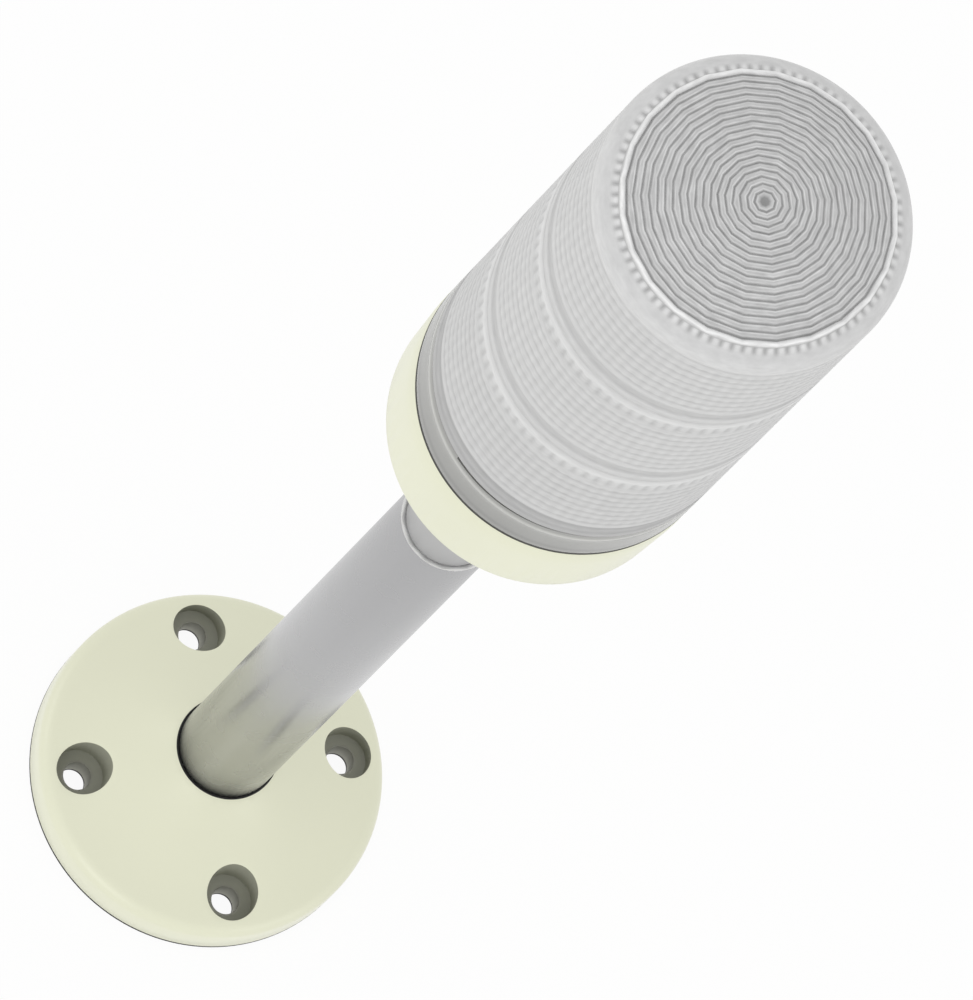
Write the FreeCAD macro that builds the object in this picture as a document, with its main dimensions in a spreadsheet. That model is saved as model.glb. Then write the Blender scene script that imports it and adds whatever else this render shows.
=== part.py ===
"""Modular stack light: three clear twist-lock tiers on a tubular pole with a round mounting flange.

Frame: millimetres, +Z up, origin at the centre of the mounting face (the underside of the gasket).
The light stands on its flange. Its four mounting holes lie on the X and Y axes.

Every driving size lives in the sheet "Dimensions". Each sub-part is one object whose Label is
the name of its file in parts/.
"""
import FreeCAD, Part
import math
import os

import Sketcher

doc = FreeCAD.newDocument("StackLight")
sheet = doc.addObject("Spreadsheet::Sheet", "Dimensions")

# Driving dimensions, in millimetres; heights are above the mounting face unless the name says otherwise.
DIMENSIONS = {
    # mounting flange and what sits in it
    "gasket_thick": 0.8,
    "flange_dia": 70,
    "rim_height": 9.8,           # where the outer wall would meet the sloping top
    "rim_round": 3,
    "crown_height": 21.6,        # top of the flange, around the tube
    "crown_dia": 20.9,
    "slope_arc": 62,             # radius of the hollow slope between crown and rim
    "seal_depth": 3,             # how far the tube's rubber sleeve reaches into the crown
    "seal_lip": 1.6,             # and how far it stands above it
    "socket_dia": 20.2,
    "socket_floor": 3.2,
    "wire_hole_dia": 17,
    "bolt_circle": 54,
    "bolt_bore": 5.6,
    "sleeve_dia": 6.4,
    "counterbore_dia": 10.5,
    "counterbore_floor": 6.1,
    "core_dia": 12,
    "core_circle": 44,
    "core_top": 9,
    "set_screw_dia": 4,
    "set_screw_height": 4.4,
    "set_screw_length": 7,
    # pole and the neck that plugs into it
    "tube_dia": 20,
    "tube_wall": 0.8,
    "tube_top": 193.4,
    "neck_dia": 18,
    "neck_bore": 13,
    "plug_depth": 25,            # how far the neck goes down into the tube
    "collar_height": 236,        # face on which the base cup sits
    "collar_dia": 26,
    "collar_thick": 4,
    "neck_screw_height": 181,
    "neck_screw_dia": 3,
    "neck_head_dia": 5.4,
    # base cup
    "body_dia": 60,
    "cup_boss_dia": 31,
    "cup_boss_top": 246,
    "cup_rim_height": 256,       # lower edge of the cup's side
    "cup_rim_dia": 58.8,
    "cup_edge": 1.1,             # chamfer between the side and the coned underside
    "cup_shoulder": 272.5,       # the side is straight above this
    "cup_top": 279.6,
    "cup_floor": 258,
    "cup_cavity_dia": 55.2,
    "nut_thick": 5,
    "nut_corner_dia": 28,
    "board_height": 282.6,       # underside of the base board
    "board_thick": 1.6,
    "board_corner_dia": 48,
    "post_distance": 20,         # from the axis to the inner side of a post
    "post_width": 4.8,
    "terminal_length": 24,
    "terminal_depth": 9,
    "terminal_height": 8,
    "terminal_mouth": 3,
    "base_seal_thick": 0.6,
    "base_seal_inset": 0.25,
    # twist-lock tiers
    "ring_top": 292,
    "tier_pitch": 39.3,
    "tier_gap": 0.3,
    "wall_bottom_dia": 54.2,     # the tier's inside, drafted wider towards its open top
    "wall_top_dia": 55,
    "holder_depth": 5.6,         # spigot below the tier's lower edge
    "holder_rise": 1.6,
    "lug_dia": 57.2,
    "lug_thick": 1.5,
    "lug_drop": 5.4,             # underside of a lug below the tier's lower edge
    "slot_dia": 57.8,
    "slot_clearance": 0.4,
    "entry_relief": 0.1,         # how much deeper a slot's entry is than its channel
    "ramp_length": 29.6,
    "ramp_depth": 0.9,
    # domed top of the last tier
    "dome_round": 3,
    "dome_edge": 36.7,           # above the tier's lower edge, where its wall would meet the dome
    "dome_rise": 5.8,            # from that edge to the centre
    "first_ring": 1.93,          # radius of the innermost prism groove
    "ring_pitch": 1.34,
    "ring_depth": 0.3,
    # light sources
    "column_corner_dia": 18,
    "column_height": 28.2,
    "led_board_width": 7,
    "led_board_length": 24,
    "led_board_thick": 1,
    "led_board_foot": 2,         # above the holder
    "led_size": 3,
    "led_thick": 0.8,
    "pin_length": 2,
    "pin_width": 1.5,
}
TIERS = 3
LUGS = 3
BOLTS = 4
RING_GROOVES = 18
TERMINALS = 4
CONTACTS = 4
LED_BOARDS = 3
LED_ROWS = 3
LUG_ANGLE = 14.0        # degrees each lug spans
TWIST = 18.0            # degrees from locked to the slot where a tier lifts off
TWIST_PLAY = 2.0        # degrees of free play at each end of the slot
RAMP_ANGLE = 25.5       # direction of the middle of a ramp, from the locked lug
BACK_ANGLE = 315.0      # direction of the two screws that hold the tube, away from the front


class Size:
    """A length that carries its number and the sheet expression that drives it."""

    def __init__(self, number, text):
        self.number = number
        self.text = text

    def combine(self, symbol, other, number, swapped=False):
        """Return the result of one arithmetic step, as a number and as an expression."""
        other_text = other.text if isinstance(other, Size) else f"{other:.9g}"
        pair = (other_text, self.text) if swapped else (self.text, other_text)
        return Size(number, f"({pair[0]} {symbol} {pair[1]})")

    def __add__(self, other):
        return self.combine("+", other, self.number + number_of(other))

    def __sub__(self, other):
        return self.combine("-", other, self.number - number_of(other))

    def __mul__(self, factor):
        return self.combine("*", factor, self.number * number_of(factor))

    def __truediv__(self, divisor):
        return self.combine("/", divisor, self.number / number_of(divisor))

    def __neg__(self):
        return self * -1


def number_of(value):
    """Return the plain number of a Size or of a number."""
    return value.number if isinstance(value, Size) else float(value)


def size(alias):
    """Return the sheet's dimension of that name."""
    return Size(float(DIMENSIONS[alias]), f"Dimensions.{alias}")


def radius(alias):
    """Return half of the sheet's diameter of that name."""
    return size(alias) / 2


ZERO = Size(0.0, "0")


def fill_sheet():
    """Write the driving dimensions into the sheet, one row each, with their aliases."""
    for row, (alias, number) in enumerate(DIMENSIONS.items(), start=1):
        sheet.set(f"A{row}", alias)
        sheet.set(f"B{row}", str(number))
        sheet.setAlias(f"B{row}", alias)
    doc.recompute()


def bind(obj, **properties):
    """Drive each named property of an object by the expression of its Size."""
    for name, value in properties.items():
        obj.setExpression(name, value.text)


def place(obj, x=ZERO, y=ZERO, z=ZERO, turn=0.0):
    """Place an object: turned about Z by a fixed angle, then moved by driven distances."""
    turned = FreeCAD.Rotation(FreeCAD.Vector(0, 0, 1), turn)
    obj.Placement = FreeCAD.Placement(FreeCAD.Vector(x.number, y.number, z.number), turned)
    for axis, value in (("x", x), ("y", y), ("z", z)):
        if value is not ZERO:
            obj.setExpression(f"Placement.Base.{axis}", value.text)
    return obj


# ---------------------------------------------------------------- PartDesign helpers

def new_body(label):
    """Start a PartDesign body for one sub-part."""
    body = doc.addObject("PartDesign::Body", label)
    body.Label = label
    return body


def origin_feature(body, role):
    """Return the body's own origin plane or axis of that role."""
    return next(item for item in body.Origin.OriginFeatures if item.Role == role)


def profile(body, name, points):
    """Draw a closed outline in the body's XZ plane.

    Each point is (radius, height) or (radius, height, arc radius); with an arc radius the side that
    ends at that point is an arc, hollow towards +X and +Z. Every corner is driven by the sheet.
    """
    sketch = body.newObject("Sketcher::SketchObject", name)
    sketch.AttachmentSupport = [(origin_feature(body, "XZ_Plane"), "")]
    sketch.MapMode = "FlatFace"
    corners = [FreeCAD.Vector(point[0].number, point[1].number, 0) for point in points]
    count = len(points)
    starts = []
    for index in range(count):
        here = corners[index]
        after = corners[(index + 1) % count]
        following = points[(index + 1) % count]
        if len(following) == 3:
            sketch.addGeometry(hollow_arc(here, after, following[2].number), False)
            starts.append(2)
        else:
            sketch.addGeometry(Part.LineSegment(here, after), False)
            starts.append(1)
    for index in range(count):
        before = (index - 1) % count
        end_of_before = 3 - starts[before]
        sketch.addConstraint(
            Sketcher.Constraint("Coincident", before, end_of_before, index, starts[index]))
    for index, point in enumerate(points):
        pin_corner(sketch, index, starts[index], point)
        if len(point) == 3:
            added = sketch.addConstraint(
                Sketcher.Constraint("Radius", (index - 1) % count, point[2].number))
            name_and_drive(sketch, added, f"arc{index}", point[2])
    doc.recompute()
    return sketch


def hollow_arc(start, end, arc_radius):
    """Return the arc between two corners of a falling slope whose centre lies above and outside it."""
    middle = (start + end) * 0.5
    along = end - start
    across = FreeCAD.Vector(-along.y, along.x, 0)
    across.normalize()
    centre = middle + across * math.sqrt(arc_radius ** 2 - (along.Length / 2) ** 2)
    if centre.y < middle.y:
        centre = middle * 2 - centre
    angles = [math.atan2(corner.y - centre.y, corner.x - centre.x) for corner in (start, end)]
    circle = Part.Circle(centre, FreeCAD.Vector(0, 0, 1), arc_radius)
    return Part.ArcOfCircle(circle, min(angles), max(angles))


def pin_corner(sketch, geometry, end, point):
    """Hold one corner of an outline at its driven radius and height."""
    for letter, kind, axis_line, value in (("x", "DistanceX", -2, point[0]),
                                           ("z", "DistanceY", -1, point[1])):
        if value is ZERO:
            sketch.addConstraint(Sketcher.Constraint("PointOnObject", geometry, end, axis_line))
        else:
            added = sketch.addConstraint(
                Sketcher.Constraint(kind, -1, 1, geometry, end, value.number))
            name_and_drive(sketch, added, f"{letter}{geometry}", value)


def name_and_drive(sketch, index, name, value):
    """Name one constraint of a sketch and drive it from the sheet."""
    sketch.renameConstraint(index, name)
    sketch.setExpression(f"Constraints.{name}", value.text)


def revolve(body, name, points, kind="PartDesign::Revolution"):
    """Turn an outline about the Z axis, to add material or, as a Groove, to cut it."""
    sketch = profile(body, name + "Profile", points)
    feature = body.newObject(kind, name)
    feature.Profile = sketch
    feature.ReferenceAxis = (sketch, ["V_Axis"])
    feature.Angle = 360
    doc.recompute()
    return feature


def primitive(body, kind, name, x=ZERO, y=ZERO, z=ZERO, axis=(0, 0, 1), turn=0.0, **sizes):
    """Add or cut a primitive in a body: kind is such as AdditiveBox or SubtractiveCylinder.

    turn rotates it about +Z first, and axis is the direction its height then points in.
    """
    feature = body.newObject("PartDesign::" + kind, name)
    feature.AttachmentSupport = [(origin_feature(body, "XY_Plane"), "")]
    feature.MapMode = "FlatFace"
    tilt = FreeCAD.Rotation(FreeCAD.Vector(0, 0, 1), FreeCAD.Vector(*axis))
    spin = FreeCAD.Rotation(FreeCAD.Vector(0, 0, 1), turn)
    corner = FreeCAD.Vector(x.number, y.number, z.number)
    feature.AttachmentOffset = FreeCAD.Placement(corner, tilt * spin)
    for letter, value in (("x", x), ("y", y), ("z", z)):
        if value is not ZERO:
            feature.setExpression(f"AttachmentOffset.Base.{letter}", value.text)
    for key, value in sizes.items():
        if isinstance(value, Size):
            setattr(feature, key, value.number)
            feature.setExpression(key, value.text)
        else:
            setattr(feature, key, value)
    doc.recompute()
    return feature


def around(body, name, originals, count):
    """Repeat features of a body evenly about the Z axis."""
    pattern = body.newObject("PartDesign::PolarPattern", name)
    pattern.Originals = originals
    pattern.Axis = (origin_feature(body, "Z_Axis"), [""])
    pattern.Angle = 360
    pattern.Occurrences = count
    body.Tip = pattern
    doc.recompute()
    return pattern


def round_edge(body, name, edge_radius, height, fillet):
    """Round the circular edge of a body that has that radius and height."""
    base = body.Tip
    names = []
    for index, edge in enumerate(base.Shape.Edges, start=1):
        if not isinstance(edge.Curve, Part.Circle):
            continue
        same_radius = abs(edge.Curve.Radius - edge_radius.number) < 0.01
        if same_radius and abs(edge.Curve.Center.z - height.number) < 0.01:
            names.append(f"Edge{index}")
    feature = body.newObject("PartDesign::Fillet", name)
    feature.Base = (base, names)
    feature.Radius = fillet.number
    bind(feature, Radius=fillet)
    doc.recompute()
    return feature


def away(angle):
    """Return the unit vector in the XY plane at that angle from +X, in degrees."""
    return math.cos(math.radians(angle)), math.sin(math.radians(angle))


# ---------------------------------------------------------------- Part helpers

def simple(kind, label, **sizes):
    """Make a Part primitive whose sizes are driven by the sheet."""
    obj = doc.addObject(kind, label)
    obj.Label = label
    for key, value in sizes.items():
        if isinstance(value, Size):
            setattr(obj, key, value.number)
            obj.setExpression(key, value.text)
        else:
            setattr(obj, key, value)
    return obj


def facing_box(label, width, depth, height, distance, angle, foot):
    """Make a box that faces outwards: its width lies across that direction, its depth along it."""
    box = simple("Part::Box", label, Length=width, Width=depth, Height=height)
    outwards, across = away(angle), away(angle + 90)
    # the corner of the box, half its width to one side of the direction it faces
    x = distance * outwards[0] + width * (0.5 * across[0])
    y = distance * outwards[1] + width * (0.5 * across[1])
    return place(box, x, y, foot, turn=angle - 90)


def group(label, members):
    """Gather like pieces that share one file: separate solids in one compound."""
    compound = doc.addObject("Part::Compound", label)
    compound.Label = label
    compound.Links = members
    return compound


def cut(label, base, tool):
    """Cut one Part object with another."""
    result = doc.addObject("Part::Cut", label)
    result.Label = label
    result.Base = base
    result.Tool = tool
    return result


# ---------------------------------------------------------------- flange and pole

def make_mounting_flange():
    """Moulded flange: a hollow-sloped disc with the tube's socket and four counterbored holes."""
    body = new_body("mounting_flange")
    bottom = size("gasket_thick")
    seal_seat = size("crown_height") - size("seal_depth")
    revolve(body, "Disc", [
        (radius("wire_hole_dia"), bottom),
        (radius("flange_dia"), bottom),
        (radius("flange_dia"), size("rim_height")),
        (radius("crown_dia"), size("crown_height"), size("slope_arc")),
        (radius("crown_dia"), seal_seat),
        (radius("socket_dia"), seal_seat),
        (radius("socket_dia"), size("socket_floor")),
        (radius("wire_hole_dia"), size("socket_floor")),
    ])
    round_edge(body, "Rim", radius("flange_dia"), size("rim_height"), size("rim_round"))
    bore = primitive(body, "SubtractiveCylinder", "SleeveBore", x=radius("bolt_circle"),
                     Radius=radius("sleeve_dia"), Height=size("crown_height"))
    counterbore = primitive(body, "SubtractiveCylinder", "Counterbore", x=radius("bolt_circle"),
                            z=size("counterbore_floor"), Radius=radius("counterbore_dia"),
                            Height=size("crown_height"))
    around(body, "BoltHoles", [bore, counterbore], BOLTS)
    # cored pockets under the disc, one in each quarter that the set screw doesn't cross
    for quarter in range(BOLTS - 1):
        direction = away(45 + 90 * quarter)
        primitive(body, "SubtractiveCylinder", f"Core{quarter + 1}",
                  x=radius("core_circle") * direction[0], y=radius("core_circle") * direction[1],
                  Radius=radius("core_dia"), Height=size("core_top"))
    outwards = away(BACK_ANGLE)
    primitive(body, "SubtractiveCylinder", "SetScrewHole",
              x=size("set_screw_dia") * outwards[0], y=size("set_screw_dia") * outwards[1],
              z=size("set_screw_height"), axis=(outwards[0], outwards[1], 0),
              Radius=radius("set_screw_dia"), Height=size("flange_dia"))
    return body


def make_flange_gasket():
    """Flat rubber gasket under the flange, with the wire hole and four screw holes."""
    body = new_body("flange_gasket")
    revolve(body, "Sheet", [
        (radius("wire_hole_dia"), ZERO),
        (radius("flange_dia"), ZERO),
        (radius("flange_dia"), size("gasket_thick")),
        (radius("wire_hole_dia"), size("gasket_thick")),
    ])
    hole = primitive(body, "SubtractiveCylinder", "ScrewHole", x=radius("bolt_circle"),
                     Radius=radius("bolt_bore"), Height=size("gasket_thick"))
    around(body, "ScrewHoles", [hole], BOLTS)
    return body


def make_screw_sleeves():
    """Four metal sleeves in the flange, so that tight screws don't crush the moulding."""
    sleeves = []
    length = size("counterbore_floor") - size("gasket_thick")
    for index in range(BOLTS):
        direction = away(360 / BOLTS * index)
        x, y = radius("bolt_circle") * direction[0], radius("bolt_circle") * direction[1]
        outside = simple("Part::Cylinder", f"sleeve_outside_{index}", Radius=radius("sleeve_dia"),
                         Height=length)
        inside = simple("Part::Cylinder", f"sleeve_bore_{index}", Radius=radius("bolt_bore"),
                        Height=length)
        sleeves.append(cut(f"sleeve_{index}", place(outside, x, y, size("gasket_thick")),
                           place(inside, x, y, size("gasket_thick"))))
    return group("screw_sleeves", sleeves)


def make_tube_seal():
    """Rubber sleeve that closes the gap between the tube and the flange, its lip standing proud."""
    body = new_body("tube_seal")
    foot = size("crown_height") - size("seal_depth")
    top = size("crown_height") + size("seal_lip")
    revolve(body, "Sleeve", [
        (radius("tube_dia"), foot),
        (radius("crown_dia"), foot),
        (radius("crown_dia"), top),
        (radius("tube_dia"), top),
    ])
    return body


def make_pole_tube():
    """Drawn aluminium tube, cross-drilled near its top for the screw that holds the neck."""
    body = new_body("pole_tube")
    inner = radius("tube_dia") - size("tube_wall")
    revolve(body, "Tube", [
        (inner, size("socket_floor")),
        (radius("tube_dia"), size("socket_floor")),
        (radius("tube_dia"), size("tube_top")),
        (inner, size("tube_top")),
    ])
    radial_hole(body, "ScrewHole", size("neck_screw_height"), radius("neck_screw_dia"))
    return body


def radial_hole(body, name, height, hole_radius):
    """Drill a body from its axis outwards, at the back."""
    outwards = away(BACK_ANGLE)
    return primitive(body, "SubtractiveCylinder", name, z=height, Radius=hole_radius,
                     Height=size("tube_dia"), axis=(outwards[0], outwards[1], 0))


def back_pin(label, start, length, height, pin_radius):
    """Make a round pin that lies along the back direction, from start to start + length."""
    outwards = away(BACK_ANGLE)
    pin = simple("Part::Cylinder", label, Radius=pin_radius, Height=length)
    lie_down = FreeCAD.Rotation(FreeCAD.Vector(0, 0, 1), FreeCAD.Vector(outwards[0], outwards[1], 0))
    pin.Placement = FreeCAD.Placement(FreeCAD.Vector(), lie_down)
    for letter, value in (("x", start * outwards[0]), ("y", start * outwards[1]), ("z", height)):
        pin.setExpression(f"Placement.Base.{letter}", value.text)
    return pin


def make_tube_set_screw():
    """Grub screw in the flange's side that grips the foot of the tube."""
    return back_pin("tube_set_screw", radius("tube_dia"), size("set_screw_length"),
                    size("set_screw_height"), radius("set_screw_dia"))


def make_pole_adapter():
    """Hollow neck: a plug for the tube, a collar for the base cup and a stub for the lock nut."""
    body = new_body("pole_adapter")
    collar_foot = size("collar_height") - size("collar_thick")
    stub_top = size("cup_floor") + size("nut_thick")
    taper = radius("collar_dia") - radius("neck_dia")
    revolve(body, "Neck", [
        (radius("neck_bore"), size("tube_top") - size("plug_depth")),
        (radius("neck_dia"), size("tube_top") - size("plug_depth")),
        (radius("neck_dia"), collar_foot - taper),
        (radius("collar_dia"), collar_foot),
        (radius("collar_dia"), size("collar_height")),
        (radius("neck_dia"), size("collar_height")),
        (radius("neck_dia"), stub_top),
        (radius("neck_bore"), stub_top),
    ])
    radial_hole(body, "ScrewHole", size("neck_screw_height"), radius("neck_screw_dia"))
    return body


def make_neck_screw():
    """Pan-head screw through the back of the tube into the neck."""
    shank = back_pin("neck_screw_shank", radius("neck_bore"),
                     radius("tube_dia") - radius("neck_bore"),
                     size("neck_screw_height"), radius("neck_screw_dia"))
    head = back_pin("neck_screw_head", radius("tube_dia"), radius("neck_screw_dia"),
                    size("neck_screw_height"), radius("neck_head_dia"))
    screw = doc.addObject("Part::Fuse", "neck_screw")
    screw.Label = "neck_screw"
    screw.Base = shank
    screw.Tool = head
    return screw


# ---------------------------------------------------------------- base

def make_base_cup():
    """Moulded base cup: a drafted side, a coned underside and a boss around the neck."""
    body = new_body("base_cup")
    revolve(body, "Cup", [
        (radius("neck_dia"), size("collar_height")),
        (radius("cup_boss_dia"), size("collar_height")),
        (radius("cup_boss_dia"), size("cup_boss_top")),
        (radius("cup_rim_dia") - size("cup_edge"), size("cup_rim_height") - size("cup_edge")),
        (radius("cup_rim_dia"), size("cup_rim_height")),
        (radius("body_dia"), size("cup_shoulder")),
        (radius("body_dia"), size("cup_top")),
        (radius("cup_cavity_dia"), size("cup_top")),
        (radius("cup_cavity_dia"), size("cup_floor")),
        (radius("neck_dia"), size("cup_floor")),
    ])
    width = size("post_width")
    post = primitive(body, "AdditiveBox", "BoardPost", x=size("post_distance"), y=width / -2,
                     z=size("cup_floor"), Length=width, Width=width,
                     Height=size("board_height") - size("cup_floor"))
    around(body, "BoardPosts", [post], LUGS)
    return body


def make_lock_nut():
    """Hexagonal nut that clamps the base cup to the neck's collar."""
    blank = simple("Part::Prism", "nut_blank", Polygon=6, Circumradius=radius("nut_corner_dia"),
                   Height=size("nut_thick"))
    bore = simple("Part::Cylinder", "nut_bore", Radius=radius("neck_dia"), Height=size("nut_thick"))
    return cut("lock_nut", place(blank, z=size("cup_floor")), place(bore, z=size("cup_floor")))


def make_base_board():
    """Octagonal board with the contacts for the first tier, on the base cup's posts."""
    board = simple("Part::Prism", "base_board", Polygon=8,
                   Circumradius=radius("board_corner_dia"), Height=size("board_thick"))
    return place(board, z=size("board_height"), turn=22.5)


def make_terminal_block():
    """Screw-terminal block hanging under the base board, with a mouth for each wire."""
    length = size("terminal_length")
    depth = size("terminal_depth")
    opening = size("terminal_mouth")
    foot = size("board_height") - size("terminal_height")
    block = place(simple("Part::Box", "terminal_body", Length=length, Width=depth,
                         Height=size("terminal_height")), x=length / -2, y=depth / -2, z=foot)
    mouths = []
    for index in range(TERMINALS):
        mouth = simple("Part::Box", f"terminal_mouth_{index}", Length=opening, Width=depth,
                       Height=opening)
        middle = length * ((index + 0.5) / TERMINALS - 0.5)
        mouths.append(place(mouth, x=middle - opening / 2, z=foot + opening / 2))
    return cut("terminal_block", block, group("terminal_mouths", mouths))


def make_base_seal():
    """Flat rubber ring between the base cup and the socket ring."""
    body = new_body("base_seal")
    top = size("cup_top") + size("base_seal_thick")
    outer = radius("body_dia") - size("base_seal_inset")
    revolve(body, "Ring", [
        (radius("cup_cavity_dia"), size("cup_top")),
        (outer, size("cup_top")),
        (outer, top),
        (radius("cup_cavity_dia"), top),
    ])
    return body


# ---------------------------------------------------------------- twist-lock sockets and lugs

def cut_lug_slots(body, rim):
    """Cut three L-shaped slots in the inside of a wall whose open rim is at that height.

    A lug drops down the entry and turns back under the lip into the channel, where it is locked.
    """
    lug_top = size("lug_drop") - size("lug_thick") - size("tier_gap")
    channel_top = rim - lug_top + size("slot_clearance")
    channel_height = size("lug_thick") + size("slot_clearance") * 2
    half = LUG_ANGLE / 2 + TWIST_PLAY
    channel = primitive(body, "SubtractiveCylinder", "SlotChannel", z=channel_top - channel_height,
                        turn=-half, Radius=radius("slot_dia"), Height=channel_height,
                        Angle=half + TWIST)
    entry = primitive(body, "SubtractiveCylinder", "SlotEntry",
                      z=channel_top - channel_height - size("entry_relief"), turn=TWIST - half,
                      Radius=radius("slot_dia") + size("entry_relief"), Height=size("tier_pitch"),
                      Angle=2 * half)
    around(body, "LugSlots", [channel, entry], LUGS)


def make_socket_ring():
    """Clear ring on the base that takes the first tier's lugs, with a shallow ramp at each."""
    body = new_body("socket_ring")
    foot = size("cup_top") + size("base_seal_thick")
    revolve(body, "Ring", [
        (radius("wall_top_dia"), foot),
        (radius("body_dia"), foot),
        (radius("body_dia"), size("ring_top")),
        (radius("wall_top_dia"), size("ring_top")),
    ])
    cut_lug_slots(body, size("ring_top"))
    depth, half = size("ramp_depth"), size("ramp_length") / 2
    ramp = primitive(body, "SubtractiveWedge", "Ramp", z=size("ring_top"), turn=RAMP_ANGLE,
                     Xmin=ZERO, Xmax=size("body_dia"), X2min=ZERO, X2max=size("body_dia"),
                     Ymin=-half, Ymax=half, Zmin=-depth, Zmax=depth, Z2min=ZERO, Z2max=depth)
    around(body, "Ramps", [ramp], LUGS)
    return body


def tier_foot(index):
    """Return the height of the lower edge of a tier's wall; tiers count from 1."""
    return size("ring_top") + size("tier_gap") + size("tier_pitch") * (index - 1)


def make_open_lens(index):
    """Clear wall of a tier that carries another: a drafted sleeve with slots in its rim."""
    body = new_body(f"lens_{index}")
    rim = size("tier_pitch") - size("tier_gap")
    revolve(body, "Wall", [
        (radius("wall_bottom_dia"), ZERO),
        (radius("body_dia"), ZERO),
        (radius("body_dia"), rim),
        (radius("wall_top_dia"), rim),
    ])
    cut_lug_slots(body, rim)
    place(body, z=tier_foot(index))
    return body


def make_domed_lens(index):
    """Clear wall of the last tier, closed by a dome with concentric prism grooves."""
    body = new_body(f"lens_{index}")
    last_ring = size("first_ring") + size("ring_pitch") * (RING_GROOVES - 1)
    crest_edge = last_ring + size("ring_pitch") / 2

    def dome_height(at_radius):
        """Height of the dome's crests: a parabola from the centre to its edge, close to a sphere."""
        share = at_radius * at_radius / (radius("body_dia") * radius("body_dia"))
        return size("dome_edge") + size("dome_rise") * (Size(1.0, "1") - share)

    ceiling = size("dome_edge") - size("dome_round")
    outline = [
        (radius("wall_bottom_dia"), ZERO),
        (radius("body_dia"), ZERO),
        (radius("body_dia"), size("dome_edge")),
        (crest_edge, dome_height(crest_edge)),
    ]
    for ring in reversed(range(RING_GROOVES)):
        groove = size("first_ring") + size("ring_pitch") * ring
        crest = groove - size("ring_pitch") / 2
        outline.append((groove, dome_height(groove) - size("ring_depth")))
        outline.append((crest, dome_height(crest)))
    outline += [
        (ZERO, dome_height(size("first_ring") - size("ring_pitch") / 2)),
        (ZERO, ceiling + size("dome_rise")),
        (radius("wall_top_dia"), ceiling),
    ]
    revolve(body, "Wall", outline)
    round_edge(body, "Shoulder", radius("body_dia"), size("dome_edge"), size("dome_round"))
    place(body, z=tier_foot(index))
    return body


def make_holder(index):
    """Base of a tier: a disc under its wall with three lugs that lock it to what is below."""
    body = new_body(f"holder_{index}")
    outer = radius("wall_bottom_dia")
    primitive(body, "AdditiveCylinder", "Disc", z=-size("holder_depth"), Radius=outer,
              Height=size("holder_depth") + size("holder_rise"))
    lug = primitive(body, "AdditiveCylinder", "Lug", z=-size("lug_drop"), turn=-LUG_ANGLE / 2,
                    Radius=radius("lug_dia"), Height=size("lug_thick"), Angle=LUG_ANGLE)
    around(body, "Lugs", [lug], LUGS)
    place(body, z=tier_foot(index))
    return body


# ---------------------------------------------------------------- what each tier holds

def make_led_column(index):
    """Six-sided white column that the boards stand against."""
    column = simple("Part::Prism", f"led_column_{index}", Polygon=6,
                    Circumradius=radius("column_corner_dia"), Height=size("column_height"))
    return place(column, z=tier_foot(index) + size("holder_rise"), turn=30)


def board_foot(index):
    """Return the height of the lower end of a tier's upright boards."""
    return tier_foot(index) + size("holder_rise") + size("led_board_foot")


def make_led_boards(index):
    """Three narrow boards on alternate sides of the column."""
    boards = []
    flat = radius("column_corner_dia") * math.cos(math.radians(30))
    for side in range(LED_BOARDS):
        boards.append(facing_box(f"led_board_{index}_{side}", size("led_board_width"),
                                 size("led_board_thick"), size("led_board_length"),
                                 flat, 360 / LED_BOARDS * side, board_foot(index)))
    return group(f"led_boards_{index}", boards)


def make_leds(index):
    """Light-emitting diodes, evenly spaced up each board."""
    leds = []
    face = radius("column_corner_dia") * math.cos(math.radians(30)) + size("led_board_thick")
    for side in range(LED_BOARDS):
        for row in range(LED_ROWS):
            middle = size("led_board_length") * ((row + 0.5) / LED_ROWS)
            leds.append(facing_box(f"led_{index}_{side}_{row}", size("led_size"),
                                   size("led_thick"), size("led_size"), face,
                                   360 / LED_BOARDS * side,
                                   board_foot(index) + middle - size("led_size") / 2))
    return group(f"leds_{index}", leds)


def make_contact_pins(index):
    """Spring contacts under a tier's holder, each on a circle of its own."""
    pins = []
    foot = tier_foot(index) - size("holder_depth") - size("pin_length")
    for contact in range(CONTACTS):
        pins.append(facing_box(f"contact_pin_{index}_{contact}", size("pin_width"),
                               size("pin_width"), size("pin_length"),
                               size("pin_width") * (contact + 1), 360 / CONTACTS * contact, foot))
    return group(f"contact_pins_{index}", pins)


def make_contact_board(index):
    """Six-sided board on top of a tier's column, which the next tier's contacts press on."""
    board = simple("Part::Prism", f"contact_board_{index}", Polygon=6,
                   Circumradius=radius("column_corner_dia") + 1, Height=size("board_thick"))
    height = tier_foot(index) + size("holder_rise") + size("column_height")
    return place(board, z=height, turn=30)


# ---------------------------------------------------------------- build, check, write

def make_all():
    """Build every sub-part and return them in assembly order."""
    parts = [
        make_flange_gasket(), make_mounting_flange(), make_screw_sleeves(), make_tube_seal(),
        make_pole_tube(), make_tube_set_screw(), make_pole_adapter(), make_neck_screw(),
        make_base_cup(), make_lock_nut(), make_terminal_block(), make_base_board(),
        make_base_seal(), make_socket_ring(),
    ]
    for index in range(1, TIERS + 1):
        last = index == TIERS
        parts.append(make_domed_lens(index) if last else make_open_lens(index))
        parts += [make_holder(index), make_led_column(index), make_led_boards(index),
                  make_leds(index), make_contact_pins(index)]
        if not last:
            parts.append(make_contact_board(index))
    return parts


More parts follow.
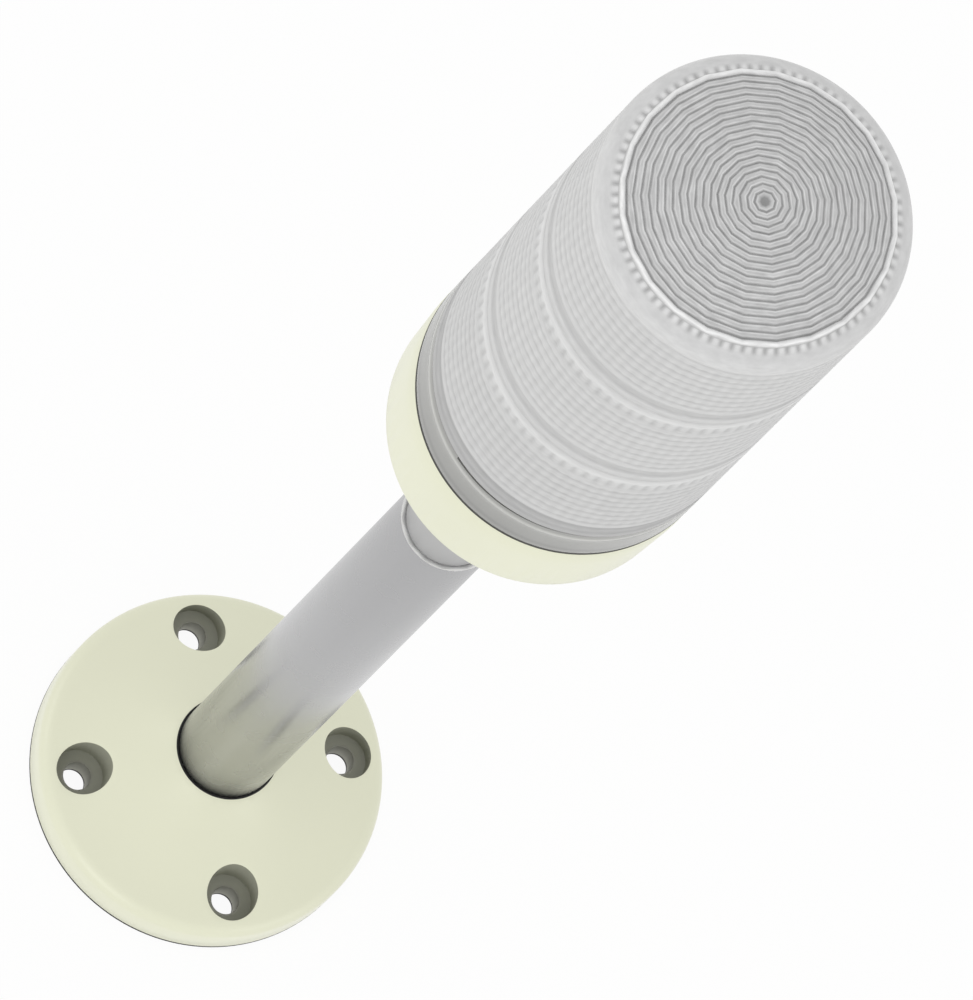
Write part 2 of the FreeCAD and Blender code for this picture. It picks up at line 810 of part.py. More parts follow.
def check_and_write(parts):
    """Refuse a failed object or a bad shape, then write one STEP file for each sub-part."""
    doc.recompute()
    for obj in doc.Objects:
        if "Invalid" in obj.State or "Error" in obj.State:
            raise RuntimeError(f"{obj.Name} failed to compute: {obj.State}")
    for part in parts:
        if part.Shape.isNull() or not part.Shape.isValid():
            raise RuntimeError(f"{part.Label} has no valid shape")
    os.makedirs("parts", exist_ok=True)
    for part in parts:
        part.Shape.exportStep(os.path.join("parts", part.Label + ".step"))
        print(f"{part.Label}: {len(part.Shape.Solids)} solid(s), {part.Shape.Volume:.1f} mm3")


fill_sheet()
check_and_write(make_all())
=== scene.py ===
"""Looks for the stack light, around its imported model: finishes, moulded detail, light and camera.

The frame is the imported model's: metres, +Z up, origin at the centre of the mounting face. Sizes in
the classes below are millimetres, and they become metres where a mesh is made.
"""

import logging
import math
from dataclasses import dataclass
from enum import Enum
from typing import Any, Callable, Iterable, Sequence

import bmesh
import bpy
from mathutils import Matrix, Vector


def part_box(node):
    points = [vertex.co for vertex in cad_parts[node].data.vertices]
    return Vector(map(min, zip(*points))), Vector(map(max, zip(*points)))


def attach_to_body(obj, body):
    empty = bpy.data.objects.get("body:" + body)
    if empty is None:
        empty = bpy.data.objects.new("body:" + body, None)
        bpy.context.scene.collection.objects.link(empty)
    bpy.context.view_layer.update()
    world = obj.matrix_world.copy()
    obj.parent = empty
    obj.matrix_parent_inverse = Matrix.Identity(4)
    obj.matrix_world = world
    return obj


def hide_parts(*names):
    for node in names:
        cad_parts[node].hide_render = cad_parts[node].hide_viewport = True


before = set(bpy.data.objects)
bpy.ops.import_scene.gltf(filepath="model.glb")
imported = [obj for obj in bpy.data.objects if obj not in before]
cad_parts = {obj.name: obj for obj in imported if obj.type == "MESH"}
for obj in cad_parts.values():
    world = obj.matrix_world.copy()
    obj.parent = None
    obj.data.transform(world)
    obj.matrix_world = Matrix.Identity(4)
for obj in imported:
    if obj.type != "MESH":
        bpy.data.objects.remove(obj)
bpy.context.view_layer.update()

MM = 0.001
PAINTED_LIGHT = "tone"           # attribute: the painted light and shade of a clear moulding there, as a linear level
PAINTED_BORE_SHADE = "recess"       # attribute: 1 inside a counterbored hole, where shade is painted into the colour, else 0
CREASE_DEGREES = 40.0   # edges that fold more than this stay sharp
FLAT_DEGREES = 0.5      # neighbouring faces that fold less than this are one face
WELD_MM = 0.001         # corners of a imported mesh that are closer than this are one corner
HAIR_MM = 0.0001        # heights on a wall that are closer than this are the same
WHITE = (1.0, 1.0, 1.0, 1.0)
LOG = logging.getLogger("stack_light")

Material = bpy.types.Material
Mesh = bpy.types.Mesh
Node = bpy.types.Node
Object = bpy.types.Object
Socket = bpy.types.NodeSocket
Tree = bpy.types.NodeTree
Colour = tuple[float, float, float, float]
Pairs = tuple[tuple[float, float], ...]
Triples = tuple[tuple[float, float, float], ...]


# ------------------------------------------------------------------ nodes and colour

def to_linear(level: float) -> float:
    """Turn a display level from 0 to 1 into the linear level that a shader reads."""
    return level / 12.92 if level <= 0.04045 else ((level + 0.055) / 1.055) ** 2.4


def linear(colour: str) -> Colour:
    """Turn an sRGB hex colour into the linear colour that a shader reads.

    Args:
        colour: six hex digits after a hash sign.

    Returns:
        Red, green, blue and an alpha of 1.
    """
    red, green, blue = (to_linear(int(colour[place:place + 2], 16) / 255) for place in (1, 3, 5))
    return red, green, blue, 1.0


def add_node(tree: Tree, kind: str, inputs: dict[int | str, Any] | None = None,
             **settings: Any) -> Node:
    """Add a node to a tree, with its settings, values and links.

    Args:
        tree: a shader or geometry tree.
        kind: the node's type name.
        inputs: for each input, by name or number, a value or the socket that feeds it.
        settings: the node's own properties.

    Returns:
        The new node.
    """
    made = tree.nodes.new(kind)
    for name, value in settings.items():
        setattr(made, name, value)
    for key, value in (inputs or {}).items():
        if isinstance(value, Socket):
            tree.links.new(value, made.inputs[key])
        else:
            made.inputs[key].default_value = value
    return made


def maths(tree: Tree, operation: str, *values: Any) -> Socket:
    """Return the output of one Math node, which works the same in shader and geometry trees."""
    return add_node(tree, "ShaderNodeMath", dict(enumerate(values)), operation=operation).outputs[0]


def product(tree: Tree, first: Any, *others: Any) -> Socket:
    """Return the product of two or more values.

    Args:
        tree: a shader or geometry tree.
        first: a value or a socket.
        others: what it is multiplied by.

    Returns:
        The product.
    """
    for other in others:
        first = maths(tree, "MULTIPLY", first, other)
    return first


def new_material(name: str) -> tuple[Material, Tree]:
    """Start a material, named as the real one is, and return it with its empty tree.

    Args:
        name: its common name, and how its surface was made.

    Returns:
        The material and its tree.
    """
    material = bpy.data.materials.new(name)
    material.use_nodes = True
    material.node_tree.nodes.clear()
    return material, material.node_tree


def principled(tree: Tree, inputs: dict[str, Any]) -> None:
    """End a material's tree with a principled shader that has these inputs.

    Args:
        tree: the material's tree.
        inputs: the shader's inputs by name.
    """
    shader = add_node(tree, "ShaderNodeBsdfPrincipled", inputs)
    add_node(tree, "ShaderNodeOutputMaterial", {"Surface": shader.outputs["BSDF"]})


def speckle(tree: Tree, spacing_mm: float, detail: float = 2.0,
            stretch: tuple[float, float, float] = (1, 1, 1)) -> Socket:
    """Return noise in object space.

    Args:
        tree: the material's tree.
        spacing_mm: the size of one grain.
        detail: how many finer layers it has.
        stretch: how many times longer a grain is along each axis.

    Returns:
        The noise, from 0 to 1, about 0.5 on average.
    """
    mapped = add_node(tree, "ShaderNodeMapping", {
        "Vector": add_node(tree, "ShaderNodeTexCoord").outputs["Object"],
        "Scale": [1 / (spacing_mm * MM * times) for times in stretch]})
    noise = add_node(tree, "ShaderNodeTexNoise", {"Vector": mapped.outputs[0], "Scale": 1.0,
                                                  "Detail": detail})
    return noise.outputs["Fac"]


def varied(tree: Tree, noise: Socket, middle: float, spread: float) -> Socket:
    """Return a value that a noise moves by as much as the spread, evenly about the middle."""
    return maths(tree, "MULTIPLY_ADD", noise, spread, middle - spread / 2)


def scaled(tree: Tree, colour: str, gain: Socket) -> Socket:
    """Return a colour with its value multiplied by a gain."""
    return add_node(tree, "ShaderNodeHueSaturation", {"Color": linear(colour),
                                                      "Value": gain}).outputs[0]


def drifting(tree: Tree, colour: str, noise: Socket, share: float) -> Socket:
    """Return a colour that grows lighter and darker with a noise, by a share of its value."""
    return scaled(tree, colour, varied(tree, noise, 1.0, 2 * share))


def blended(tree: Tree, share: Socket, first: Socket | Colour, second: Socket | Colour) -> Socket:
    """Return a blend of two colours by the share of the second."""
    return add_node(tree, "ShaderNodeMix", {0: share, 6: first, 7: second},
                    data_type="RGBA").outputs[2]


def attribute(tree: Tree, name: str) -> Socket:
    """Return a mesh attribute's value."""
    return add_node(tree, "ShaderNodeAttribute", attribute_name=name).outputs["Fac"]


def bumped(tree: Tree, height: Socket, depth_mm: float) -> Socket:
    """Return a normal that is bumped by a height of 0 to 1."""
    return add_node(tree, "ShaderNodeBump", {"Height": height, "Strength": 1.0,
                                             "Distance": depth_mm * MM}).outputs[0]


# ------------------------------------------------------------------ finishes

@dataclass(frozen=True)
class Moulded:
    """Injection-moulded plastic: satin, with the fine grain of a spark-eroded tool.

    The eye gets a soft sheen that spreads each highlight, and a colour that drifts very slightly.
    The grain is drawn a little coarser than the real 0.1 mm, so that it shows at all. Bores get a
    darker colour: painted shade for the shadow deep in a counterbored hole.
    """

    name: str
    colour: str
    bore_shade_colour: str = "#999A8A"
    roughness: float = 0.3
    roughness_spread: float = 0.08
    drift: float = 0.012
    grain_mm: float = 0.22
    grain_depth_mm: float = 0.003
    clouds_mm: float = 14.0
    ior: float = 1.53

    def build(self) -> Material:
        """Return the finish as a material.

        Returns:
            The material.
        """
        material, tree = new_material(self.name)
        grain = speckle(tree, self.grain_mm, detail=3.0)
        skin = drifting(tree, self.colour, speckle(tree, self.clouds_mm), self.drift)
        principled(tree, {
            # painted shade: faces marked as inside a bore take the darker bore colour
            "Base Color": blended(tree, attribute(tree, PAINTED_BORE_SHADE), skin, linear(self.bore_shade_colour)),
            "Normal": bumped(tree, grain, self.grain_depth_mm),
            "Roughness": varied(tree, grain, self.roughness, self.roughness_spread),
            "IOR": self.ior,
        })
        return material


@dataclass(frozen=True)
class DrawnTube:
    """Satin anodised aluminium tube: metal that mirrors its surroundings softly.

    Faint lines from drawing run along it, and anodising dulls them to a satin. The clear oxide
    layer on it brightens the tube towards its sides.
    """

    name: str = "anodised aluminium, drawn"
    colour: str = "#AEAEAF"
    drift: float = 0.01
    roughness: float = 0.27
    roughness_spread: float = 0.06
    clouds_mm: float = 9.0
    line_mm: float = 0.12
    line_length: float = 220.0
    line_depth_mm: float = 0.0006
    oxide: float = 0.3
    oxide_ior: float = 1.65

    def build(self) -> Material:
        """Return the finish as a material.

        Returns:
            The material.
        """
        material, tree = new_material(self.name)
        lines = speckle(tree, self.line_mm, detail=1.0, stretch=(1, 1, self.line_length))
        principled(tree, {
            "Base Color": drifting(tree, self.colour, lines, self.drift),
            "Normal": bumped(tree, lines, self.line_depth_mm),
            "Roughness": varied(tree, speckle(tree, self.clouds_mm), self.roughness,
                                self.roughness_spread),
            "Metallic": 1.0,
            "Coat Weight": self.oxide,
            "Coat IOR": self.oxide_ior,
            "Coat Roughness": self.roughness,
        })
        return material


@dataclass(frozen=True)
class PlatedMetal:
    """Small turned or stamped metal, plated: fine tool marks under a soft shine."""

    name: str
    colour: str
    drift: float = 0.05
    roughness: float = 0.32
    roughness_spread: float = 0.12
    mark_mm: float = 0.15
    mark_length: float = 8.0
    mark_depth_mm: float = 0.002

    def build(self) -> Material:
        """Return the finish as a material.

        Returns:
            The material.
        """
        material, tree = new_material(self.name)
        marks = speckle(tree, self.mark_mm, stretch=(self.mark_length, self.mark_length, 1))
        principled(tree, {
            "Base Color": drifting(tree, self.colour, marks, self.drift),
            "Normal": bumped(tree, marks, self.mark_depth_mm),
            "Roughness": varied(tree, marks, self.roughness, self.roughness_spread),
            "Metallic": 1.0,
        })
        return material


@dataclass(frozen=True)
class MattRubber:
    """Moulded rubber: nearly black and matt unless filled, with a dusty bloom in patches."""

    name: str = "nitrile rubber, moulded"
    colour: str = "#0C0C0B"
    bloom: str = "#1C1C1B"
    roughness: float = 0.72
    patch_mm: float = 3.0
    grain_mm: float = 0.3
    grain_depth_mm: float = 0.006

    def build(self) -> Material:
        """Return the finish as a material.

        Returns:
            The material.
        """
        material, tree = new_material(self.name)
        principled(tree, {
            "Base Color": blended(tree, speckle(tree, self.patch_mm, detail=3.0),
                                  linear(self.colour), linear(self.bloom)),
            "Normal": bumped(tree, speckle(tree, self.grain_mm), self.grain_depth_mm),
            "Roughness": self.roughness,
        })
        return material


@dataclass(frozen=True)
class ClearMoulding:
    """Polycarbonate with moulded prisms: light is bent about inside it, so it reads as pale grey.

    Its tone attribute is painted light and shade: lighter where prisms would send light back, and
    darker where the eye would see through to the shaded inside. The melt's flow lines wander across
    it, and short streaks along the prisms show where their crests are a little rounder or sharper.
    """

    name: str
    tint: str
    transmission: float
    roughness: float
    specular: float
    flow: float = 0.03
    flow_mm: float = 4.0
    streak: float = 0.13
    streak_mm: float = 0.7
    streak_length: float = 3.5
    ripple_mm: float = 0.5
    ripple_depth_mm: float = 0.002
    ior: float = 1.585

    def build(self) -> Material:
        """Return the finish as a material.

        Returns:
            The material.
        """
        material, tree = new_material(self.name)
        flow = varied(tree, speckle(tree, self.flow_mm, detail=4.0), 1.0, 2 * self.flow)
        along = (self.streak_length, self.streak_length, 1)
        streaks = varied(tree, speckle(tree, self.streak_mm, stretch=along), 1.0, 2 * self.streak)
        level = product(tree, attribute(tree, PAINTED_LIGHT), product(tree, flow, streaks))
        principled(tree, {
            "Base Color": scaled(tree, self.tint, level),
            "Normal": bumped(tree, speckle(tree, self.ripple_mm), self.ripple_depth_mm),
            "Roughness": self.roughness,
            "IOR": self.ior,
            "Specular IOR Level": self.specular,
            "Transmission Weight": self.transmission,
        })
        return material


@dataclass(frozen=True)
class CircuitBoard:
    """Glass-fibre board under green lacquer: the weave shows faintly through the gloss."""

    name: str = "glass-fibre laminate, lacquered"
    colour: str = "#3E5A3C"
    drift: float = 0.08
    roughness: float = 0.25
    weave_mm: float = 0.6
    weave_depth_mm: float = 0.01

    def build(self) -> Material:
        """Return the finish as a material.

        Returns:
            The material.
        """
        material, tree = new_material(self.name)
        place = add_node(tree, "ShaderNodeTexCoord").outputs["Object"]
        threads = {"Vector": place, "Scale": 1 / (self.weave_mm * MM)}
        weave = product(tree, *(
            add_node(tree, "ShaderNodeTexWave", threads, bands_direction=axis).outputs["Fac"]
            for axis in "XY"))
        principled(tree, {
            "Base Color": drifting(tree, self.colour, weave, self.drift),
            "Normal": bumped(tree, weave, self.weave_depth_mm),
            "Roughness": self.roughness,
        })
        return material


class Finish(Enum):
    """Every finish by the name of its slot in the record, then two that only the looks have."""

    CREAM = "cream_plastic"
    GREY = "grey_plastic"
    WHITE = "white_plastic"
    GREEN = "green_plastic"
    RUBBER = "black_rubber"
    TUBE = "aluminium"
    STEEL = "steel"
    BRASS = "brass"
    BOARD = "circuit_board"
    DIODE = "led_resin"
    CLEAR = "clear_plastic"
    PRISMS = "frosted_plastic"
    CUT_END = "aluminium cut end"
    CUP_SEAL = "grey rubber"

    @property
    def slot(self) -> str:
        """Name of the record's slot that the finish stands in."""
        return "black_rubber" if self is Finish.CUP_SEAL else self.value


Recipe = Moulded | DrawnTube | PlatedMetal | MattRubber | ClearMoulding | CircuitBoard
RECIPES: dict[Finish, Recipe] = {
    Finish.CREAM: Moulded("acrylonitrile styrene, cream, moulded", "#E6E7CE"),
    Finish.GREY: Moulded("glass-filled nylon, grey, moulded", "#B2B2B2", roughness=0.38),
    Finish.WHITE: Moulded("polycarbonate blend, white, moulded", "#E4E4E0"),
    Finish.GREEN: Moulded("polyamide, green, moulded", "#3F7A50"),
    Finish.RUBBER: MattRubber(),
    Finish.TUBE: DrawnTube(),
    Finish.STEEL: PlatedMetal("steel, zinc flake coated", "#ACACA2", roughness=0.7),
    Finish.BRASS: PlatedMetal("brass, nickel flashed", "#C9B27A", roughness=0.25),
    Finish.BOARD: CircuitBoard(),
    Finish.DIODE: Moulded("diode resin, pale yellow", "#EFE7B8", roughness=0.2),
    Finish.CLEAR: ClearMoulding("polycarbonate, clear, moulded", "#FFFFFA", transmission=0.2,
                                roughness=0.2, specular=0.3, flow=0.05, flow_mm=7.0,
                                streak=0.0),
    Finish.PRISMS: ClearMoulding("polycarbonate, prismatic, moulded", "#FFFFFF",
                                 transmission=0.0, roughness=0.4, specular=0.2),
    Finish.CUT_END: PlatedMetal("aluminium, freshly cut", "#E8E8E8", roughness=0.6),
    Finish.CUP_SEAL: MattRubber("silicone rubber, grey, moulded", "#565652", "#686864"),
}
MATERIALS: dict[Finish, Material] = {}


def material_of(finish: Finish) -> Material:
    """Return the material of a finish, built the first time it is asked for.

    Args:
        finish: one of the finishes.

    Returns:
        Its material.
    """
    if finish not in MATERIALS:
        MATERIALS[finish] = RECIPES[finish].build()
    return MATERIALS[finish]


# ------------------------------------------------------------------ meshes

@dataclass(frozen=True)
class Row:
    """One corner of a turned outline, in millimetres, and the light and shade painted there, from 0
    to 1.
    """

    radius: float
    height: float
    light: float = 0.7


def linked(name: str, data: Any) -> Object:
    """Make an object of a mesh, a lamp or a camera and put it in the scene.

    Args:
        name: the object's name.
        data: the mesh, the lamp or the camera.

    Returns:
        The object.
    """
    made = bpy.data.objects.new(name, data)
    bpy.context.scene.collection.objects.link(made)
    return made


def shade(mesh: Mesh, crease_degrees: float = CREASE_DEGREES) -> None:
    """Shade a mesh smooth, apart from edges that fold more than the crease angle.

    Args:
        mesh: the mesh, which is changed in place.
        crease_degrees: the crease angle.
    """
    mesh.polygons.foreach_set("use_smooth", [True] * len(mesh.polygons))
    mesh.set_sharp_from_angle(angle=math.radians(crease_degrees))
    mesh.update()


def lathe(name: str, outline: Sequence[Row], columns: int, lift: float = 0.0) -> Object:
    """Turn a closed outline about the Z axis.

    Args:
        name: the object's name.
        outline: its corners, anticlockwise with the radius to the right and the height upwards.
        columns: how many steps the turn has.
        lift: how far up the whole shape stands, in millimetres.

    Returns:
        The object, with each row's painted light and shade as its tone, a point attribute.
    """
    points: list[Vector] = []
    tones: list[float] = []
    rings: list[list[int]] = []
    for row in outline:
        steps = 1 if row.radius == 0 else columns
        rings.append([len(points) + step for step in range(steps)])
        for step in range(steps):
            angle = 2 * math.pi * step / columns
            points.append(Vector((row.radius * math.cos(angle), row.radius * math.sin(angle),
                                  row.height + lift)) * MM)
            tones.append(to_linear(row.light))
    faces: list[tuple[int, ...]] = []
    for index, lower in enumerate(rings):
        upper = rings[(index + 1) % len(rings)]
        if len(lower) == 1 and len(upper) == 1:
            continue
        for step in range(columns):
            after = (step + 1) % columns
            corners = (lower[step % len(lower)], lower[after % len(lower)],
                       upper[after % len(upper)], upper[step % len(upper)])
            faces.append(tuple(dict.fromkeys(corners)))
    mesh = bpy.data.meshes.new(name)
    mesh.from_pydata(points, [], faces)
    mesh.attributes.new(PAINTED_LIGHT, "FLOAT", "POINT").data.foreach_set("value", tones)
    shade(mesh)
    return linked(name, mesh)


def arc(centre: tuple[float, float], radius: float, start: float, end: float, steps: int,
        light: float = 0.7) -> list[Row]:
    """Return rows along an arc of an outline, between two angles in degrees.

    Args:
        centre: the radius and height of its centre, in millimetres.
        radius: how far from there it runs.
        start: the angle of its first row.
        end: the angle of its last row.
        steps: how many steps it has.
        light: the light and shade painted on its rows.

    Returns:
        The rows, one more than the steps.
    """
    angles = [math.radians(start + (end - start) * step / steps) for step in range(steps + 1)]
    return [Row(centre[0] + radius * math.cos(angle), centre[1] + radius * math.sin(angle), light)
            for angle in angles]


def finished(name: str, source: Object, edge_mm: float) -> Object:
    """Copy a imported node's mesh, weld it, break its edges slightly and shade it smooth.

    Args:
        name: the new object's name.
        source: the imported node.
        edge_mm: how wide the broken edges are.

    Returns:
        The new object.
    """
    work = bmesh.new()
    work.from_mesh(source.data)
    bmesh.ops.remove_doubles(work, verts=work.verts, dist=WELD_MM * MM)
    bmesh.ops.dissolve_limit(work, angle_limit=math.radians(FLAT_DEGREES), verts=work.verts,
                             edges=work.edges)
    mesh = bpy.data.meshes.new(name)
    work.to_mesh(mesh)
    work.free()
    made = linked(name, mesh)
    bevel = made.modifiers.new("BrokenEdge", "BEVEL")
    bevel.width = edge_mm * MM
    bevel.segments = 2
    bevel.limit_method = "ANGLE"
    bevel.angle_limit = math.radians(CREASE_DEGREES)
    flatten(made)
    shade(made.data)
    return made


FaceTest = Callable[[Vector, Vector], bool]


def mark(piece: Object, name: str, inside: FaceTest) -> None:
    """Store 1 on the faces whose centre, in millimetres, and normal pass a test, else 0."""
    values = [float(inside(face.center / MM, face.normal)) for face in piece.data.polygons]
    piece.data.attributes.new(name, "FLOAT", "FACE").data.foreach_set("value", values)


def second_finish(piece: Object, finish: Finish, inside: FaceTest) -> None:
    """Give another finish to the faces whose centre, in millimetres, and normal pass a test.

    Args:
        piece: a piece that has its first finish.
        finish: the finish that is added.
        inside: the test.
    """
    piece.data.materials.append(material_of(finish))
    for face in piece.data.polygons:
        if inside(face.center / MM, face.normal):
            face.material_index = len(piece.data.materials) - 1


def turned_to(point: Any, radius: float) -> None:
    """Move a vertex straight out or in, to a radius in millimetres about the Z axis.

    Args:
        point: a vertex of a mesh, in metres.
        radius: where it ends up.
    """
    gain = radius / (Vector(point.co.xy).length / MM)
    point.co.x *= gain
    point.co.y *= gain


def banded(piece: Object, rows: Sequence[Row], skin: float) -> None:
    """Cut a turned wall at each row's height, move its skin to the row's radius, and paint the row's
    light and shade into its tone.

    Args:
        piece: the wall, whose axis is Z.
        rows: radius, height and painted light up the wall, the first two in millimetres, lowest
            first.
        skin: points further out than this radius belong to the skin.
    """
    work = bmesh.new()
    work.from_mesh(piece.data)
    layer = work.verts.layers.float.new(PAINTED_LIGHT)
    for row in rows[1:-1]:
        bmesh.ops.bisect_plane(work, geom=work.verts[:] + work.edges[:] + work.faces[:],
                               dist=HAIR_MM * MM, plane_co=(0, 0, row.height * MM),
                               plane_no=(0, 0, 1))
    for point in work.verts:
        height = point.co.z / MM
        low, high = rows[0], rows[-1]
        for first, second in zip(rows, rows[1:]):
            if first.height - HAIR_MM <= height <= second.height + HAIR_MM:
                low, high = first, second
                break
        share = min(max((height - low.height) / (high.height - low.height), 0.0), 1.0)
        point[layer] = to_linear(low.light + (high.light - low.light) * share)
        if Vector(point.co.xy).length / MM > skin:
            turned_to(point, low.radius + (high.radius - low.radius) * share)
    work.to_mesh(piece.data)
    work.free()
    shade(piece.data)


def flatten(piece: Object) -> None:
    """Turn what a piece's modifiers make into its own plain mesh, and remove them.

    Args:
        piece: the piece, which is changed in place.
    """
    bpy.context.view_layer.update()
    shown = piece.evaluated_get(bpy.context.evaluated_depsgraph_get())
    mesh = bpy.data.meshes.new_from_object(shown)
    piece.modifiers.clear()
    piece.data = mesh


def attach(piece: Object, body: str, finish: Finish, node: str) -> Object:
    """Dress a piece and hang it on its body in place of the node that it stands for.

    Args:
        piece: an object that isn't dressed yet.
        body: the body that it rides on.
        finish: what it is made of.
        node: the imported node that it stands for.

    Returns:
        The piece.
    """
    piece.data.materials.clear()
    piece.data.materials.append(material_of(finish))
    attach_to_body(piece, body)
    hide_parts(node)
    LOG.info("%s rides on %s: %d faces", piece.name, body, len(piece.data.polygons))
    return piece


def dress(node: str, body: str, finish: Finish, edge_mm: float = 0.15) -> Object:
    """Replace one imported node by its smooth, edged and dressed copy."""
    return attach(finished(node + "_finished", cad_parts[node], edge_mm), body, finish, node)


# ------------------------------------------------------------------ geometry nodes

SOCKETS = {bool: "NodeSocketBool", int: "NodeSocketInt", float: "NodeSocketFloat"}


def geometry_tree(name: str, inputs: dict[str, bool | int | float]) -> tuple[Tree, Any]:
    """Start a geometry tree with a geometry, a material and further named inputs.

    Args:
        name: the tree's name.
        inputs: for each further input, its default value, whose type sets the socket's.

    Returns:
        The tree and the sockets that its inputs arrive at, by name.
    """
    tree = bpy.data.node_groups.new(name, "GeometryNodeTree")
    for way in ("INPUT", "OUTPUT"):
        tree.interface.new_socket("Geometry", in_out=way, socket_type="NodeSocketGeometry")
    for label, value in inputs.items():
        socket = tree.interface.new_socket(label, in_out="INPUT", socket_type=SOCKETS[type(value)])
        socket.default_value = value
    tree.interface.new_socket("Material", in_out="INPUT", socket_type="NodeSocketMaterial")
    return tree, add_node(tree, "NodeGroupInput").outputs


def close_tree(tree: Tree, geometry: Socket, material: Socket) -> None:
    """End a geometry tree with Realize Instances and Set Material.

    Args:
        tree: the geometry tree.
        geometry: what the tree has made.
        material: the material that it sets.
    """
    real = add_node(tree, "GeometryNodeRealizeInstances", {"Geometry": geometry})
    dressed = add_node(tree, "GeometryNodeSetMaterial", {"Geometry": real.outputs[0],
                                                         "Material": material})
    add_node(tree, "NodeGroupOutput", {"Geometry": dressed.outputs[0]})


def polar_array_tree() -> Tree:
    """Return the tree that repeats a shape evenly around the Z axis.

    Returns:
        The tree.
    """
    tree, put = geometry_tree("Polar array", {"Count": 4})
    spots = add_node(tree, "GeometryNodePoints", {"Count": put["Count"],
                                                  "Position": (0.0, 0.0, 0.0)})
    step = maths(tree, "DIVIDE", 2 * math.pi, put["Count"])
    turn = product(tree, add_node(tree, "GeometryNodeInputIndex").outputs[0], step)
    spin = add_node(tree, "ShaderNodeCombineXYZ", {"Z": turn})
    copies = add_node(tree, "GeometryNodeInstanceOnPoints", {
        "Points": spots.outputs[0], "Instance": put["Geometry"], "Rotation": spin.outputs[0]})
    close_tree(tree, copies.outputs[0], put["Material"])
    return tree


def around_axis(tree: Tree) -> tuple[Socket, Socket, Socket, Socket, Socket]:
    """Return each point's x, y and z, its distance from the Z axis and its angle around it.

    Args:
        tree: the geometry tree.

    Returns:
        The five sockets, in metres and radians.
    """
    place = add_node(tree, "GeometryNodeInputPosition")
    x, y, z = add_node(tree, "ShaderNodeSeparateXYZ", {0: place.outputs[0]}).outputs
    squares = maths(tree, "ADD", product(tree, x, x), product(tree, y, y))
    return x, y, z, maths(tree, "SQRT", squares), maths(tree, "ARCTAN2", y, x)


def times(tree: Tree, vector: Any, gain: Socket) -> Socket:
    """Return a vector scaled by a gain."""
    return add_node(tree, "ShaderNodeVectorMath", {0: vector, "Scale": gain},
                    operation="SCALE").outputs[0]


def switched(tree: Tree, kind: str, switch: Socket, off: Any, on: Any) -> Socket:
    """Return one of two values of a kind, as a switch says."""
    return add_node(tree, "GeometryNodeSwitch", {"Switch": switch, "False": off, "True": on},
                    input_type=kind).outputs[0]


def press(tree: Tree, put: Any, offset: Socket, gain: Socket) -> None:
    """End a tree that moves each point by an offset and multiplies its tone, the painted light and
    shade, by a gain.

    Args:
        tree: the geometry tree.
        put: the sockets that its inputs arrive at.
        offset: how far each point moves, in metres.
        gain: what its tone is multiplied by.
    """
    old_tone = add_node(tree, "GeometryNodeInputNamedAttribute", {"Name": PAINTED_LIGHT}, data_type="FLOAT")
    toned = add_node(tree, "GeometryNodeStoreNamedAttribute", {
        "Geometry": put["Geometry"], "Name": PAINTED_LIGHT,
        "Value": product(tree, old_tone.outputs[0], gain)}, data_type="FLOAT", domain="POINT")
    moved = add_node(tree, "GeometryNodeSetPosition", {"Geometry": toned.outputs[0],
                                                       "Offset": offset})
    close_tree(tree, moved.outputs[0], put["Material"])


def flutes_tree() -> Tree:
    """Return the tree that presses evenly spaced flutes into a turned skin.

    A flute is a dip that repeats around the axis. A window limits it to a span of heights, or of
    radii on a dome, and it fades in and out over the window's ends. It also paints shade into the
    tone, darker in the flute.

    Returns:
        The tree.
    """
    tree, put = geometry_tree("Flutes", {
        "Count": 80, "Depth": 0.0, "Sharpness": 1.0, "Low": 0.0, "High": 1.0, "Fade in": 0.001,
        "Fade out": 0.001, "Skin": 0.0, "On dome": False, "Shade": 0.0})
    x, y, z, radius, angle = around_axis(tree)
    wave = maths(tree, "COSINE", product(tree, angle, put["Count"]))
    pulse = maths(tree, "POWER", maths(tree, "MULTIPLY_ADD", wave, 0.5, 0.5), put["Sharpness"])
    across = switched(tree, "FLOAT", put["On dome"], z, radius)
    rise = add_node(tree, "ShaderNodeMapRange", {
        "Value": across, "From Min": put["Low"],
        "From Max": maths(tree, "ADD", put["Low"], put["Fade in"])},
        interpolation_type="SMOOTHSTEP")
    fall = add_node(tree, "ShaderNodeMapRange", {
        "Value": across, "From Min": maths(tree, "SUBTRACT", put["High"], put["Fade out"]),
        "From Max": put["High"], "To Min": 1.0, "To Max": 0.0}, interpolation_type="SMOOTHSTEP")
    skin = maths(tree, "GREATER_THAN", radius, put["Skin"])
    window = product(tree, rise.outputs[0], fall.outputs[0], skin)
    amount = product(tree, pulse, window)
    outwards = add_node(tree, "ShaderNodeVectorMath", {
        0: add_node(tree, "ShaderNodeCombineXYZ", {"X": x, "Y": y}).outputs[0]},
        operation="NORMALIZE")
    against = switched(tree, "VECTOR", put["On dome"], outwards.outputs[0], (0.0, 0.0, 1.0))
    dip = times(tree, against, product(tree, amount, product(tree, put["Depth"], -1.0)))
    press(tree, put, dip, maths(tree, "SUBTRACT", 1.0, product(tree, amount, put["Shade"])))
    return tree


